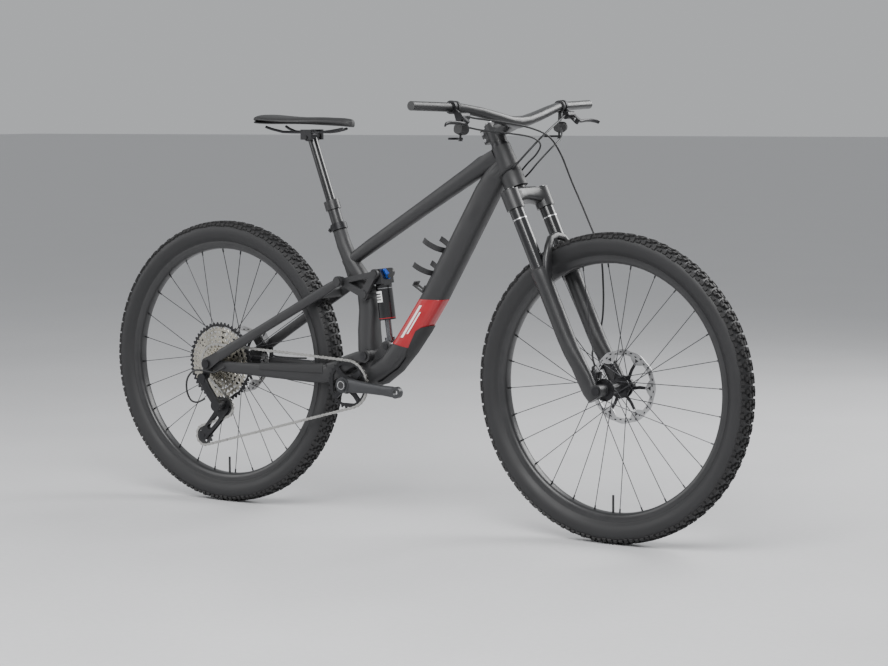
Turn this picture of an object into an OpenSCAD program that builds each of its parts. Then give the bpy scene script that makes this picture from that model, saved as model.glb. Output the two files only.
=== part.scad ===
// Full-suspension trail bicycle. Millimetres, +X forward, +Y to the rider's left, +Z up.
// The origin is on the ground, midway between the two wheel axles.

/* [Wheels] */
// distance between the wheel axles
wheelbase = 1190; // [1150:1:1240]
// outside radius of both tyres
tyre_r = 372; // [365:1:380]
// outside radius of both rims
rim_r = 318; // [316:0.5:320]
// overall width of a rim
rim_w = 35; // [28:0.5:40]
// number of spokes in each wheel
spokes = 28; // [24:4:32]
// spoke radius
spoke_r = 1.0; // [0.8:0.05:1.2]
// brake rotor radius, front and rear
rotor_r = 90; // [80:1:101.5]

/* [Frame] */
// height of the crank axis
bb_z = 341; // [330:1:350]
// crank axis, forward of the origin
bb_x = -160; // [-170:1:-150]
// width of the bottom bracket shell
bb_w = 73; // [68:1:92]
// slope of the steering axis from horizontal
head_angle = 65; // [62:0.5:70]
// front axle, forward of the steering axis
fork_offset = 48; // [37:1:51]
// slope of the seat post from horizontal
seat_angle = 69.8; // [66:0.1:76]
// clearance radius round a moving bolt
run_gap = 0.4; // [0.3:0.05:1]

/* [Fork] */
// stanchion radius
stanchion_r = 17.5; // [16:0.5:19]
// half the distance between the stanchions
leg_y = 66; // [60:0.5:70]
// stanchions, forward of the steering axis
leg_n = 17; // [0:1:25]
// bore radius of a fork leg
leg_bore = 18; // [17.8:0.1:19.5]

/* [Cockpit] */
// half the overall bar width
bar_half = 390; // [360:5:410]
// bar radius under the grips
bar_r = 11.1; // [11:0.05:12]
// grip radius
grip_r = 16; // [14:0.5:18]

/* [Drive] */
// crank length
crank = 175; // [165:2.5:180]
// crank direction below horizontal
crank_dip = 2.5; // [0:0.5:10]
// chain line, sideways from the centre plane
chain_y = -49; // [-55:0.5:-45]
// teeth of the chainring
ring_t = 30; // [28:2:36]
// teeth of the cog that carries the chain
cog_t = 24; // [10:1:51]
// teeth of both derailleur pulleys
pulley_t = 13; // [11:1:14]
// spindle radius
spindle_r = 14.5; // [12:0.1:15]

/* [Hidden] */
$fn = 48;
pitch = 12.7;
rear = [-wheelbase / 2, 0, tyre_r];
front = [wheelbase / 2, 0, tyre_r];
bb = [bb_x, 0, bb_z];
lean = 90 - head_angle;
up_s = [-sin(lean), 0, cos(lean)];
up_n = [cos(lean), 0, sin(lean)];
steer_0 = front - fork_offset * up_n;
seat_dir = [-cos(seat_angle), 0, sin(seat_angle)];
seat_0 = [-224, 0, 742];
// suspension pivots in the centre plane
piv_m = [-112, 0, 415];
piv_r = [-120, 0, 570];
piv_s = [-192, 0, 600];
piv_f = [-85, 0, 623];
piv_l = [-60, 0, 440];
guide = [-566, chain_y, 256];
tension = [-638, chain_y, 177];
cogs = [10, 12, 14, 16, 18, 21, 24, 28, 33, 39, 45, 51];
cog_step = 3.65;
cog_y0 = chain_y - 6 * cog_step;
bar_in = [298, 250, 1040];
bar_out = [286, bar_half, 1044];
bar_dir = (bar_out - bar_in) / norm(bar_out - bar_in);
// brake lever pivot on the left side and the slope of its plane
lever_piv = [342, 244, 1004];
lever_tilt = 39;
paddle_piv = [306, 216, 966];
cage_piv = [-572, -60, 262];

// ---- helpers ----
function unit(v) = v / norm(v);
function pw(c, p) = sign(c) * pow(abs(c), 2 / p);
function pitch_r(t) = pitch / (2 * sin(180 / t));

// a ring of n points: half sizes a and b, squareness p, square to the direction t
function ring_pts(c, t, a, b, p, n, up) =
    let (e2 = unit(up - (up * t) * t), e1 = cross(e2, t))
    [for (i = [0:n - 1]) c + e1 * a * pw(cos(360 * i / n), p) + e2 * b * pw(sin(360 * i / n), p)];

// stations [x, y, z, a, b, p] joined into one closed skin; b is measured along up
module loft(st, n = 20, up = [0, 1, 0]) {
    m = len(st);
    pos = [for (s = st) [s[0], s[1], s[2]]];
    dir = [for (i = [0:m - 1]) unit(pos[min(i + 1, m - 1)] - pos[max(i - 1, 0)])];
    pts = [for (i = [0:m - 1]) each ring_pts(pos[i], dir[i], st[i][3], st[i][4], st[i][5], n, up)];
    walls = [for (i = [0:m - 2]) for (j = [0:n - 1])
        each let (k = (j + 1) % n, a = i * n, b = (i + 1) * n) [[a + j, b + j, b + k], [a + j, b + k, a + k]]];
    low = [for (j = [0:n - 1]) j];
    top = [for (j = [n - 1:-1:0]) (m - 1) * n + j];
    polyhedron(pts, concat([low], walls, [top]), convexity = 8);
}

// a round line through points, for hoses and rails
module hose(path, r, n = 8, up = [0, 1, 0]) {
    loft([for (q = path) [q[0], q[1], q[2], r, r, 2]], n, up);
}

// a smooth line through every point of p, k steps between neighbours
function flow(p, k = 4) =
    let (m = len(p) - 1)
    concat([for (i = [0:m - 1]) each
        let (a = p[max(i - 1, 0)], b = p[i], c = p[i + 1], d = p[min(i + 2, m)])
        [for (j = [0:k - 1]) let (t = j / k)
            0.5 * (2 * b + (c - a) * t + (2 * a - 5 * b + 4 * c - d) * t * t
                + (3 * b - a - 3 * c + d) * t * t * t)]], [p[m]]);

// local +Z from a towards b
module along(a, b) {
    v = b - a;
    translate(a) rotate([0, acos(v[2] / norm(v)), atan2(v[1], v[0])]) children();
}

module rod(a, b, r, fn = 32) {
    along(a, b) cylinder(r = r, h = norm(b - a), $fn = fn);
}

// across the bicycle, from y0 to y1
module cross_rod(c, r, y0, y1, fn = 48) {
    translate([c[0], y0, c[2]]) rotate([-90, 0, 0]) cylinder(r = r, h = y1 - y0, $fn = fn);
}

// two circles joined by their outer tangents
module bar2d(p, r, q, s) {
    d = q - p;
    l = norm(d);
    a = atan2(d[1], d[0]);
    b = acos((r - s) / l);
    u = [cos(a + b), sin(a + b)];
    v = [cos(a - b), sin(a - b)];
    translate(p) circle(r);
    translate(q) circle(s);
    polygon([p + r * v, q + s * v, q + s * u, p + r * u]);
}

// a flat drawn in x and z, thick from y0 to y1
module plate(y0, y1) {
    translate([0, y1, 0]) rotate([90, 0, 0]) linear_extrude(y1 - y0) children();
}

module both() {
    children();
    mirror([0, 1, 0]) children();
}

module steer() {
    translate(steer_0) rotate([0, -lean, 0]) children();
}

module wheel_ring(c, pts) {
    translate(c) rotate([-90, 0, 0]) rotate_extrude($fn = 96) polygon(pts);
}

// profile points given as radius and half width, mirrored to the other side
function mirrored(h) = concat(h, [for (i = [len(h) - 1:-1:0]) [h[i][0], -h[i][1]]]);

function xz(p) = [p[0], p[2]];

// ---- main frame ----
dt_path = [[290, 0, 903, 24, 20, 2.6], [262, 0, 868, 30, 25, 2.8], [238, 0, 832, 31, 27, 3],
    [160, 0, 702, 31, 28, 3], [82, 0, 573, 31, 28, 3], [30, 0, 498, 31, 29, 3],
    [-12, 0, 442, 29, 31, 3], [-52, 0, 398, 28, 33, 3], [-105, 0, 364, 30, 35, 3],
    [-158, 0, 345, 30, 36, 3]];
st_path = [[-118, 0, 372, 26, 34, 3], [-124, 0, 430, 26, 32, 3], [-127, 0, 480, 26, 27, 3],
    [-126, 0, 530, 25, 24, 2.8], [-134, 0, 575, 24, 22, 2.6], [-157, 0, 615, 22, 20.5, 2.4],
    [-185, 0, 652, 20, 19.5, 2.2], [-205, 0, 690, 19, 19, 2], [-218.6, 0, 727, 18, 18, 2]];
tt_path = [[-198, 0, 642, 15, 15, 2.4], [-123, 0, 689, 17, 18, 2.6], [40, 0, 787, 18, 19, 2.6],
    [191, 0, 877, 21, 21, 2.6], [268, 0, 923, 26, 22, 2.4]];
head_low = 544;
head_top = 652;

module main_frame() {
    color([0.16, 0.16, 0.17]) difference() {
        union() {
            loft(dt_path);
            loft(st_path);
            loft(tt_path);
            steer() translate([0, 0, head_low]) cylinder(r1 = 29, r2 = 24, h = head_top - head_low);
            cross_rod(bb, 26, -bb_w / 2, bb_w / 2);
            cross_rod(piv_m, 17, -36, 36);
            cross_rod(piv_r, 14, -26.5, 26.5);
            plate(-22, 22) bar2d(xz(piv_l), 14, [-78, 405], 22);
        }
        steer() {
            translate([0, 0, head_low - 1]) cylinder(r = 17, h = 140);
            translate([0, 0, head_low - 1]) cylinder(r = 26, h = 12);
            translate([0, 0, head_top - 11]) cylinder(r = 21, h = 12);
            translate([0, 0, head_top]) cylinder(r = 60, h = 50);
        }
        cross_rod(bb, 21, -40, 40);
        cross_rod(piv_m, 8, -40, 40);
        cross_rod(piv_r, 7.5, -40, 40);
        cross_rod(piv_l, 4, -40, 40);
        cross_rod(piv_l, 17, -13, 13);
        cage_frame() for (z = [-34, 34]) translate([-9, 0, z]) rotate([0, 90, 0])
            cylinder(r = 2.5, h = 26, $fn = 24);
        translate(seat_0 - 170 * seat_dir) along([0, 0, 0], seat_dir) cylinder(r = 15.8, h = 175);
    }
}

module down_tube_guard() {
    color([0.06, 0.06, 0.065]) difference() {
        loft([[92, 0, 589, 31.4, 28.4, 3], [30, 0, 498, 34.2, 31, 3], [-12, 0, 442, 32.2, 33, 3],
            [-52, 0, 398, 31.2, 35, 3], [-96, 0, 368, 32.5, 36, 3]]);
        loft([[238, 0, 832, 31.05, 28.05, 3], [160, 0, 702, 31.05, 28.05, 3], [82, 0, 573, 31.05, 28.05, 3],
            [30, 0, 498, 31.05, 29.05, 3], [-12, 0, 442, 29.05, 31.05, 3], [-52, 0, 398, 28.05, 33.05, 3],
            [-105, 0, 364, 30.05, 35.05, 3], [-158, 0, 345, 30.05, 36.05, 3]]);
        plate(-60, 60) polygon([[140, 640], [140, 500], [75, 498], [52, 493], [38, 484], [19, 450], [2, 414],
            [-25, 384], [-70, 352], [-140, 330], [-200, 400], [-100, 640]]);
    }
}

module headset() {
    color([0.1, 0.1, 0.11]) steer() {
        difference() {
            translate([0, 0, head_top + 0.1]) cylinder(r1 = 24, r2 = 20, h = 11);
            translate([0, 0, head_top - 1]) cylinder(r = 14.7, h = 14);
        }
        difference() {
            translate([0, 0, head_top - 10.8]) cylinder(r = 20.9, h = 10.8);
            translate([0, 0, head_top - 12]) cylinder(r = 14.7, h = 14);
        }
        difference() {
            translate([0, 0, head_low + 0.2]) cylinder(r = 25.9, h = 10.6);
            translate([0, 0, head_low - 2]) cylinder(r = 20.6, h = 14);
        }
    }
}

module bottom_bracket() {
    color([0.07, 0.07, 0.075]) both() difference() {
        union() {
            cross_rod(bb, 20.9, 18, bb_w / 2);
            cross_rod(bb, 23, bb_w / 2 + 0.1, bb_w / 2 + 8);
        }
        cross_rod(bb, spindle_r + 0.06, 10, 60);
    }
}

module frame_bolts() {
    color([0.3, 0.3, 0.32]) {
        cross_rod(piv_m, 7.9, -46, 46);
        both() cross_rod(piv_m, 10, 46.1, 49);
        cross_rod(piv_l, 3.9, -22, 22);
        both() cross_rod(piv_l, 7, 22.1, 25);
        cage_frame() for (z = [-34, 34]) translate([-5.5, 0, z]) rotate([0, 90, 0]) {
            cylinder(r = 4.5, h = 2.8);
            cylinder(r = 2.4, h = 20, $fn = 24);
        }
    }
}

module seat_clamp() {
    color([0.12, 0.12, 0.125]) translate(seat_0) along([0, 0, 0], seat_dir) difference() {
        union() {
            translate([0, 0, -14]) cylinder(r = 22, h = 14);
            translate([0, 0, 0.1]) cylinder(r = 20.2, h = 3);
            translate([20, 0, -7]) cube([14, 17, 11], center = true);
            translate([25, 11, -7]) rotate([90, 0, 0]) cylinder(r = 3, h = 22, $fn = 24);
        }
        translate([0, 0, -20]) cylinder(r = 18.1, h = 20);
        translate([0, 0, -20]) cylinder(r = 15.9, h = 30);
        translate([24, 0, -7]) cube([22, 1.6, 30], center = true);
    }
}

module dropper_outer() {
    color([0.05, 0.05, 0.055]) translate(seat_0) along([0, 0, 0], seat_dir) {
        difference() {
            union() {
                translate([0, 0, -168]) cylinder(r = 15.7, h = 208);
                translate([0, 0, 40]) cylinder(r = 20, h = 24);
            }
            translate([0, 0, -166]) cylinder(r = 12.9, h = 240);
        }
    }
}

// frame on the upper face of the down tube: z along the tube, x into it
module cage_frame() {
    translate([82.4, 0, 633.6]) rotate([0, 31.13, 0]) children();
}

module bottle_cage() {
    color([0.12, 0.12, 0.13]) cage_frame() difference() {
        union() {
            translate([-2.6, -11, -50]) cube([2.3, 22, 118]);
            translate([-6.4, -12, -66]) cube([4.4, 24, 20]);
            difference() {
                union() {
                    translate([-39.7, 0, 54]) cylinder(r = 39.4, h = 14);
                    translate([-39.7, 0, -14]) cylinder(r = 39.4, h = 14);
                }
                translate([-39.7, 0, -80]) cylinder(r = 37, h = 160);
                translate([-140, -50, 40]) cube([88, 100, 40]);
                translate([-140, -50, -20]) cube([94, 100, 30]);
            }
            translate([-38, -12, -66]) cube([34, 24, 3.2]);
            translate([-38, -12, -66]) cube([3, 24, 12]);
        }
        for (z = [-34, 34]) translate([-10, 0, z]) rotate([0, 90, 0]) cylinder(r = 2.6, h = 20, $fn = 24);
        translate([-30, -6, -70]) cube([20, 12, 10]);
        translate([-6, -5, -22]) cube([10, 10, 44]);
    }
}

// ---- chain run, seen from the drive side ----
// circles of the run: [x, z, signed radius]; positive turns clockwise
run = [[rear[0], rear[2], pitch_r(cog_t)], [bb[0], bb[2], pitch_r(ring_t)],
    [tension[0], tension[2], pitch_r(pulley_t)], [guide[0], guide[2], -pitch_r(pulley_t)]];
function heading(a, b) =
    atan2(b[1] - a[1], b[0] - a[0]) + asin((b[2] - a[2]) / norm([b[0] - a[0], b[1] - a[1]]));
function leave(a, h) = [a[0] - a[2] * sin(h), a[1] + a[2] * cos(h)];
// arc on circle c from heading h0 to heading h1, moved off the pitch line by o
function wrap(c, h0, h1, o, n) =
    let (turn = c[2] > 0 ? -((h0 - h1 + 720) % 360) : (h1 - h0 + 720) % 360)
    [for (i = [0:n]) let (h = h0 + turn * i / n) leave([c[0], c[1], c[2]], h) + o * [-sin(h), cos(h)]];
function chain_line(o) =
    let (h = [for (i = [0:3]) heading(run[i], run[(i + 1) % 4])])
    [for (i = [0:3]) each wrap(run[i], h[(i + 3) % 4], h[i], o, 22)];

// pins of the straight run after circle i, clear of the teeth at both ends
function pins(i) =
    let (b = run[(i + 1) % 4], h = heading(run[i], b), p = leave(run[i], h), q = leave(b, h))
    let (l = norm(q - p))
    [for (k = [2:floor(l / pitch) - 2]) p + (q - p) * k * pitch / l];

module chain() {
    color([0.72, 0.72, 0.74]) {
        for (s = [-1, 1]) plate(chain_y + s * 1.9 - 0.7, chain_y + s * 1.9 + 0.7) difference() {
            polygon(chain_line(3.6));
            polygon(chain_line(-3.6));
        }
        for (i = [0:3]) for (c = pins(i)) cross_rod([c[0], 0, c[1]], 2, chain_y - 2.65, chain_y + 2.65, 24);
    }
}

// ---- hoses ----
module steering_hoses() {
    color([0.05, 0.05, 0.055]) {
        hose(flow([[319, -198, 991.5], [338, -170, 985], [366, -110, 978], [388, -40, 968], [386, 6, 950],
            [364, 23, 926], [338, 25, 904], [320, 25, 886]]), 2.2);
        hose(flow([[325.8, 213.2, 1017.4], [334, 190, 1014], [356, 140, 1006], [381, 70, 992], [388, 10, 968],
            [372, -18, 938], [346, -23, 911], [325, -21.5, 893]]), 2.5);
        hose(flow([[319, 198, 991.5], [342, 170, 980], [372, 120, 962], [381, 60, 938], [362, 34, 906],
            [338, 31, 880], [316, 31, 862]]), 2.2);
    }
}

module front_brake_hose() {
    color([0.05, 0.05, 0.055]) hose(flow([[325.8, -213.2, 1017.4], [335, -190, 1013], [360, -130, 1005],
        [392, -50, 990], [408, 10, 968], [414, 54, 925], [428, 80, 860], [462, 90, 780],
        [500, 94, 690], [508, 96, 610], [508, 95, 540], [500, 93, 492], [493, 85, 464],
        [496, 66, 447], [505, 53, 434], [511, 50.6, 419], [512.4, 50.6, 405.6]]), 2.4);
}

// ---- dropper post and saddle ----
module dropper_post() {
    color([0.04, 0.04, 0.045]) translate(seat_0) along([0, 0, 0], seat_dir)
        translate([0, 0, -12]) cylinder(r = 12.6, h = 244);
}

clamp_c = [-306, 0, 975];
module post_head() {
    color([0.1, 0.1, 0.11]) difference() {
        union() {
            cross_rod([clamp_c[0], 0, 968], 14, -19, 19);
            both() translate([clamp_c[0], 22, 971]) cube([34, 8.6, 26], center = true);
            both() cross_rod([clamp_c[0], 0, 964], 5, 26, 29);
        }
        both() translate([clamp_c[0], 22, 977]) rotate([0, 90, 0]) cylinder(r = 3.62, h = 60, center = true);
        translate(seat_0) along([0, 0, 0], seat_dir) translate([0, 0, 180]) cylinder(r = 12.65, h = 52.05);
    }
}

module saddle_rails() {
    color([0.08, 0.08, 0.085]) both() rod([-352, 22, 977], [-262, 22, 977], 3.5);
    color([0.08, 0.08, 0.085]) both() hose([[-352, 22, 977], [-380, 27, 978], [-408, 36, 985],
        [-424, 42, 991]], 3.5, 12);
    color([0.08, 0.08, 0.085]) both() hose([[-262, 22, 977], [-236, 18, 979.5], [-212, 12, 983.5],
        [-200, 8, 986]], 3.5, 12);
}

saddle_line = [[-455, 1006, 60, 8], [-445, 1004, 70, 14], [-420, 1003, 72, 17], [-380, 1003, 70, 17],
    [-340, 1003, 55, 16], [-300, 1002, 36, 14], [-260, 1000, 25, 12], [-215, 998, 20, 11],
    [-185, 996, 17, 10], [-176, 995, 12, 6]];
module saddle_shell() {
    color([0.05, 0.05, 0.055]) loft([for (s = saddle_line)
        [s[0] + 1.5, 0, s[1] - 2.5, 3, s[2] - 5, 2.5]], 24);
}

module saddle_cover() {
    color([0.03, 0.03, 0.033]) difference() {
        loft([for (s = saddle_line) [s[0], 0, s[1] + 7, s[3], s[2], 2.6]], 24);
        loft([for (s = saddle_line) [s[0] + 1.5, 0, s[1] - 2.5, 3.1, s[2] - 4.8, 2.5]], 24);
        translate([-500, -100, 960]) cube([400, 200, 39.4]);
    }
}

// ---- steering ----
module fork_crown() {
    color([0.05, 0.05, 0.055]) steer() {
        cylinder_at(505, 715, 14.3);
        difference() {
            union() {
                loft([[leg_n, -leg_y, 508, 20, 20, 2.4], [11, -38, 518, 21, 20, 3], [2, 0, 522, 25, 18, 3],
                    [11, 38, 518, 21, 20, 3], [leg_n, leg_y, 508, 20, 20, 2.4]], 20, [0, 0, 1]);
                for (y = [-leg_y, leg_y]) translate([leg_n, y, 482]) cylinder(r = 22.5, h = 48);
                cylinder_at(538, 552, 20);
            }
            for (y = [-leg_y, leg_y]) translate([leg_n, y, 470]) cylinder(r = stanchion_r + 0.05, h = 80);
        }
    }
}

module cylinder_at(s0, s1, r) {
    translate([0, 0, s0]) cylinder(r = r, h = s1 - s0);
}

module stanchions() {
    color([0.02, 0.02, 0.022]) steer() for (y = [-leg_y, leg_y]) translate([leg_n, y, 0]) {
        difference() {
            cylinder_at(300, 529, stanchion_r);
            cylinder_at(290, 540, 14.5);
        }
        cylinder_at(529.1, 534, 15);
        cylinder_at(515, 529.1, 14.4);
    }
}

module bar_stem() {
    color([0.06, 0.06, 0.065]) difference() {
        union() {
            both() rod(bar_in - 26 * bar_dir, bar_out - 3 * bar_dir, bar_r, 48);
            loft([[300.2, -224, 1039.3, 11.3, 11.3, 2], [304, -200, 1036, 12.5, 11.5, 2.2],
                [314, -150, 1028, 15, 12, 2.4], [321, -90, 1016, 17, 12.5, 2.6],
                [322, -40, 1006, 19, 13, 2.8], [320, 0, 1002, 22, 15, 3], [322, 40, 1006, 19, 13, 2.8],
                [321, 90, 1016, 17, 12.5, 2.6], [314, 150, 1028, 15, 12, 2.4],
                [304, 200, 1036, 12.5, 11.5, 2.2], [300.2, 224, 1039.3, 11.3, 11.3, 2]], 20, [0, 0, 1]);
            loft([[262, 0, 979, 19, 19, 3], [285, 0, 990, 17, 22, 3], [318, 0, 1002, 13, 34, 2.6]]);
            steer() cylinder_at(667, 713, 21);
            steer() translate([-32, -13, 672]) cube([24, 26, 36]);
        }
        steer() cylinder_at(660, 725, 14.35);
        steer() translate([-45, -0.8, 660]) cube([40, 1.6, 60]);
        for (s = [681, 699]) steer() translate([-26, 0, s]) rotate([90, 0, 0])
            cylinder(r = 2.6, h = 60, center = true, $fn = 24);
    }
    color([0.06, 0.06, 0.065]) steer() difference() {
        translate([0, 0, 663.2]) cylinder(r = 20.5, h = 3.6);
        translate([0, 0, 660]) cylinder(r = 14.7, h = 10);
    }
}

module stem_bolts() {
    color([0.7, 0.7, 0.72]) steer() {
        for (s = [681, 699]) translate([-26, 0, s]) rotate([90, 0, 0]) {
            translate([0, 0, -13]) cylinder(r = 2.5, h = 26, $fn = 24);
            translate([0, 0, 13.1]) cylinder(r = 4.5, h = 4);
            translate([0, 0, 12.9]) cylinder(r = 2.5, h = 0.3, $fn = 24);
        }
        cylinder_at(715.1, 718, 17);
    }
}

module grips() {
    color([0.05, 0.05, 0.05]) both() {
        difference() {
            union() {
                rod(bar_out - 137 * bar_dir, bar_out - 2 * bar_dir, grip_r, 48);
                rod(bar_out - 137 * bar_dir, bar_out - 127 * bar_dir, grip_r + 1.5, 48);
            }
            rod(bar_out - 140 * bar_dir, bar_out, 11.5, 48);
        }
        rod(bar_out - 2 * bar_dir, bar_out, 15.5, 48);
    }
}

// brake lever frame: z along the pivot, x away from the bar
module lever_frame() {
    translate(lever_piv) rotate([0, lever_tilt, 0]) children();
}

module clamp_ring(t, w, r) {
    difference() {
        rod(bar_in - (t + w / 2) * bar_dir, bar_in - (t - w / 2) * bar_dir, r, 48);
        rod(bar_in - (t + w) * bar_dir, bar_in - (t - w) * bar_dir, bar_r + 0.4, 48);
    }
}

module brake_bodies() {
    color([0.12, 0.12, 0.125]) both() {
        clamp_ring(8, 8, 16);
        lever_frame() {
            translate([-22, -28, 0]) rotate([-90, 0, 0]) cylinder(r = 10, h = 34);
            translate([-42, -5.5, -6]) cube([20, 7, 12]);
            for (z = [-7, 4.2]) translate([0, 0, z]) {
                translate([-20, -5, 0]) cube([20, 10, 2.8]);
                cylinder(r = 6.2, h = 2.8);
            }
            translate([0, 0, -5.5]) cylinder(r = 2.2, h = 11, $fn = 24);
        }
    }
}

module blade() {
    color([0.1, 0.1, 0.105]) lever_frame() difference() {
        union() {
            translate([0, 0, -3.8]) cylinder(r = 6, h = 7.6);
            loft([[0, 2, 0, 5, 3.4, 2.4], [2, 14, 0, 4.2, 3.4, 2.6], [0, 36, 0, 3, 4.4, 2.6],
                [-1, 66, 0, 2.6, 5, 2.6], [3, 86, 0, 2.8, 5, 2.4], [8, 93, 0, 2.6, 4.5, 2.2]], 16, [0, 0, 1]);
        }
        translate([0, 0, -10]) cylinder(r = 2.6, h = 20, $fn = 24);
    }
}

module brake_blade_left() {
    blade();
}

module brake_blade_right() {
    mirror([0, 1, 0]) blade();
}

// thumb control below the bar, drawn for the left side
module control(long) {
    color([0.09, 0.09, 0.095]) {
        clamp_ring(22, 7, 15.5);
        rod([301, 228, 1026], [304, 222, 1004], 4.5);
        loft([[308, 204, 988, 13, 11, 2.5], [310, 214, 988, 17 + long, 14, 2.6],
            [308, 230, 990, 13, 12, 2.5]], 20, [0, 0, 1]);
        translate([paddle_piv[0], paddle_piv[1], 961]) cylinder(r = 2.6, h = 18, $fn = 24);
        translate([paddle_piv[0], paddle_piv[1], 960]) cylinder(r = 5, h = 2.4);
    }
}

module paddle(reach) {
    color([0.07, 0.07, 0.075]) difference() {
        translate([0, 0, 963.4]) linear_extrude(5) union() {
            bar2d([paddle_piv[0], paddle_piv[1]], 6, [paddle_piv[0] - reach, paddle_piv[1] - 16], 6);
            bar2d([paddle_piv[0] - reach, paddle_piv[1] - 16], 6, [paddle_piv[0] - reach - 8, paddle_piv[1] - 2], 6);
        }
        translate([paddle_piv[0], paddle_piv[1], 950]) cylinder(r = 3, h = 40, $fn = 24);
    }
}

module shifter() {
    mirror([0, 1, 0]) control(3);
}

module dropper_remote() {
    control(0);
}

module shift_paddle() {
    mirror([0, 1, 0]) paddle(22);
}

module remote_paddle() {
    paddle(28);
}

// ---- fork lowers ----
module fork_lowers() {
    color([0.05, 0.05, 0.052]) steer() difference() {
        union() {
            for (m = [-1, 1]) {
                loft([[leg_n, m * leg_y, 322, 22.5, 22.5, 2], [leg_n, m * leg_y, 300, 22.5, 22.5, 2],
                    [leg_n, m * leg_y, 288, 21.3, 21.3, 2], [leg_n, m * leg_y, 150, 21.3, 21.3, 2],
                    [18.5, m * leg_y, 112, 21, 19, 2.2], [23, m * 66.4, 76, 20, 15.5, 2.4],
                    [25.5, m * 67, 40, 21, 12.6, 2.6], [27, m * 67.4, 8, 20, 11.6, 2.6],
                    [29, m * 67.4, -16, 15, 11.6, 2.4]]);
                translate([fork_offset, m * 55.5, 0]) rotate([m * -90, 0, 0]) cylinder(r = 15, h = 24);
            }
            loft([[26, -63, 296, 14, 10, 2.4], [44, -59, 343, 12, 9, 2.6], [51, -47, 368, 9, 8.5, 2.8],
                [54, -28, 388, 8, 8.5, 3], [54, 0, 394, 8, 8.5, 3], [54, 28, 388, 8, 8.5, 3],
                [51, 47, 368, 9, 8.5, 2.8], [44, 59, 343, 12, 9, 2.6], [26, 63, 296, 14, 10, 2.4]], 20, [1, 0, 0]);
            translate([0, 68, 0]) rotate([90, 0, 0]) linear_extrude(7) {
                bar2d([28, 66], 9, [-20, 72], 7);
                bar2d([34, 24], 9, [-27, 22], 7);
            }
        }
        for (y = [-leg_y, leg_y]) translate([leg_n, y, 140]) cylinder(r = leg_bore, h = 250);
        translate([fork_offset, 0, 0]) rotate([90, 0, 0]) cylinder(r = 7.6, h = 200, center = true);
    }
}

module front_axle() {
    color([0.1, 0.1, 0.105]) steer() translate([fork_offset, 0, 0]) {
        rotate([90, 0, 0]) cylinder(r = 7.5, h = 158, center = true);
        translate([0, -79.7, 0]) rotate([90, 0, 0]) cylinder(r = 10.5, h = 3.3);
        translate([0, -78, 0]) rotate([90, 0, 0]) cylinder(r = 7.5, h = 2);
    }
}

// caliper block over a rotor; z points away from the wheel axle, y from y0 to y1
module caliper(y0, y1, ry) {
    difference() {
        union() {
            translate([-24, y0, 70]) cube([48, y1 - y0, 30]);
            translate([-17, y0 - 3, 72]) cube([34, y1 - y0 + 3, 26]);
        }
        translate([-60, ry - 2.4, 40]) cube([120, 4.8, 53]);
        for (x = [-17, 17]) translate([x, ry, 106]) rotate([90, 0, 0]) cylinder(r = 8, h = 5, center = true);
    }
}

module front_caliper() {
    color([0.1, 0.1, 0.105]) steer() {
        translate([fork_offset, 0, 0]) rotate([0, -60, 0]) caliper(35, 60.6, 46);
    }
}

// ---- wheels ----
tyre_half = [[372, 3], [371.5, 8], [370.4, 15], [368, 21], [364.5, 26], [360, 29.5], [352, 30.5],
    [344, 30.3], [336, 28.6], [329, 25], [323, 20.5], [319.2, 17.8], [318.3, 14.7], [311.4, 14.5],
    [311.4, 11], [316, 11.4], [321, 15], [326, 19.4], [332, 23.6], [340, 26], [348, 26.6], [356, 25.5],
    [361, 22], [364.5, 15], [366, 8], [366.5, 3]];
rim_half = [[rim_r - 9, 6], [rim_r - 7, 8], [rim_r - 7, 15], [rim_r, 15], [rim_r, rim_w / 2],
    [rim_r - 8, rim_w / 2 + 0.2], [rim_r - 15, 16], [rim_r - 18.5, 12], [rim_r - 20, 6]];

module tyre(c) {
    color([0.04, 0.04, 0.04]) wheel_ring(c, mirrored([for (q = tyre_half) [q[0] - 372 + tyre_r, q[1]]]));
}

// direction in the wheel plane at angle a
function spin(a) = [cos(a), 0, sin(a)];
function side_a(i, m) = 720 / spokes * i + (m > 0 ? 180 / spokes * 2 : 0) + 90 / spokes;
function rim_a(i, m) = side_a(i, m) + (i % 2 == 0 ? 1 : -1) * 3 * 720 / spokes;

module rim(c) {
    color([0.05, 0.05, 0.052]) difference() {
        wheel_ring(c, mirrored(rim_half));
        for (m = [-1, 1]) for (i = [0:spokes / 2 - 1])
            rod(c + (rim_r - 26) * spin(rim_a(i, m)) + [0, m * 3, 0],
                c + (rim_r - 12) * spin(rim_a(i, m)) + [0, m * 3, 0], 2.5, 16);
        rod(c + (rim_r - 26) * spin(-90), c + (rim_r - 5) * spin(-90), 3.3, 16);
    }
    color([0.8, 0.8, 0.82]) rod(c + (rim_r - 62) * spin(-90), c + (rim_r - 10) * spin(-90), 3, 16);
}

// yd and yn are the flange planes on the two sides
module wheel_spokes(c, yd, yn, hr) {
    color([0.12, 0.12, 0.125]) for (m = [-1, 1]) for (i = [0:spokes / 2 - 1]) {
        yf = m < 0 ? yd : yn;
        lift = m * (i % 2 == 0 ? 4.4 : -2.9);
        p = c + hr * spin(side_a(i, m)) + [0, yf + lift, 0];
        q = c + (rim_r - 20.5) * spin(rim_a(i, m)) + [0, m * 3, 0];
        rod(p, q, spoke_r, 8);
        rod(q - 9 * unit(q - p), q, 2, 8);
        rod(q, c + (rim_r - 13) * spin(rim_a(i, m)) + [0, m * 3, 0], 2, 8);
        rod(p + [0, sign(lift) * 0.8, 0], p - [0, lift + sign(lift) * 2.4, 0], spoke_r, 8);
    }
}

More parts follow.
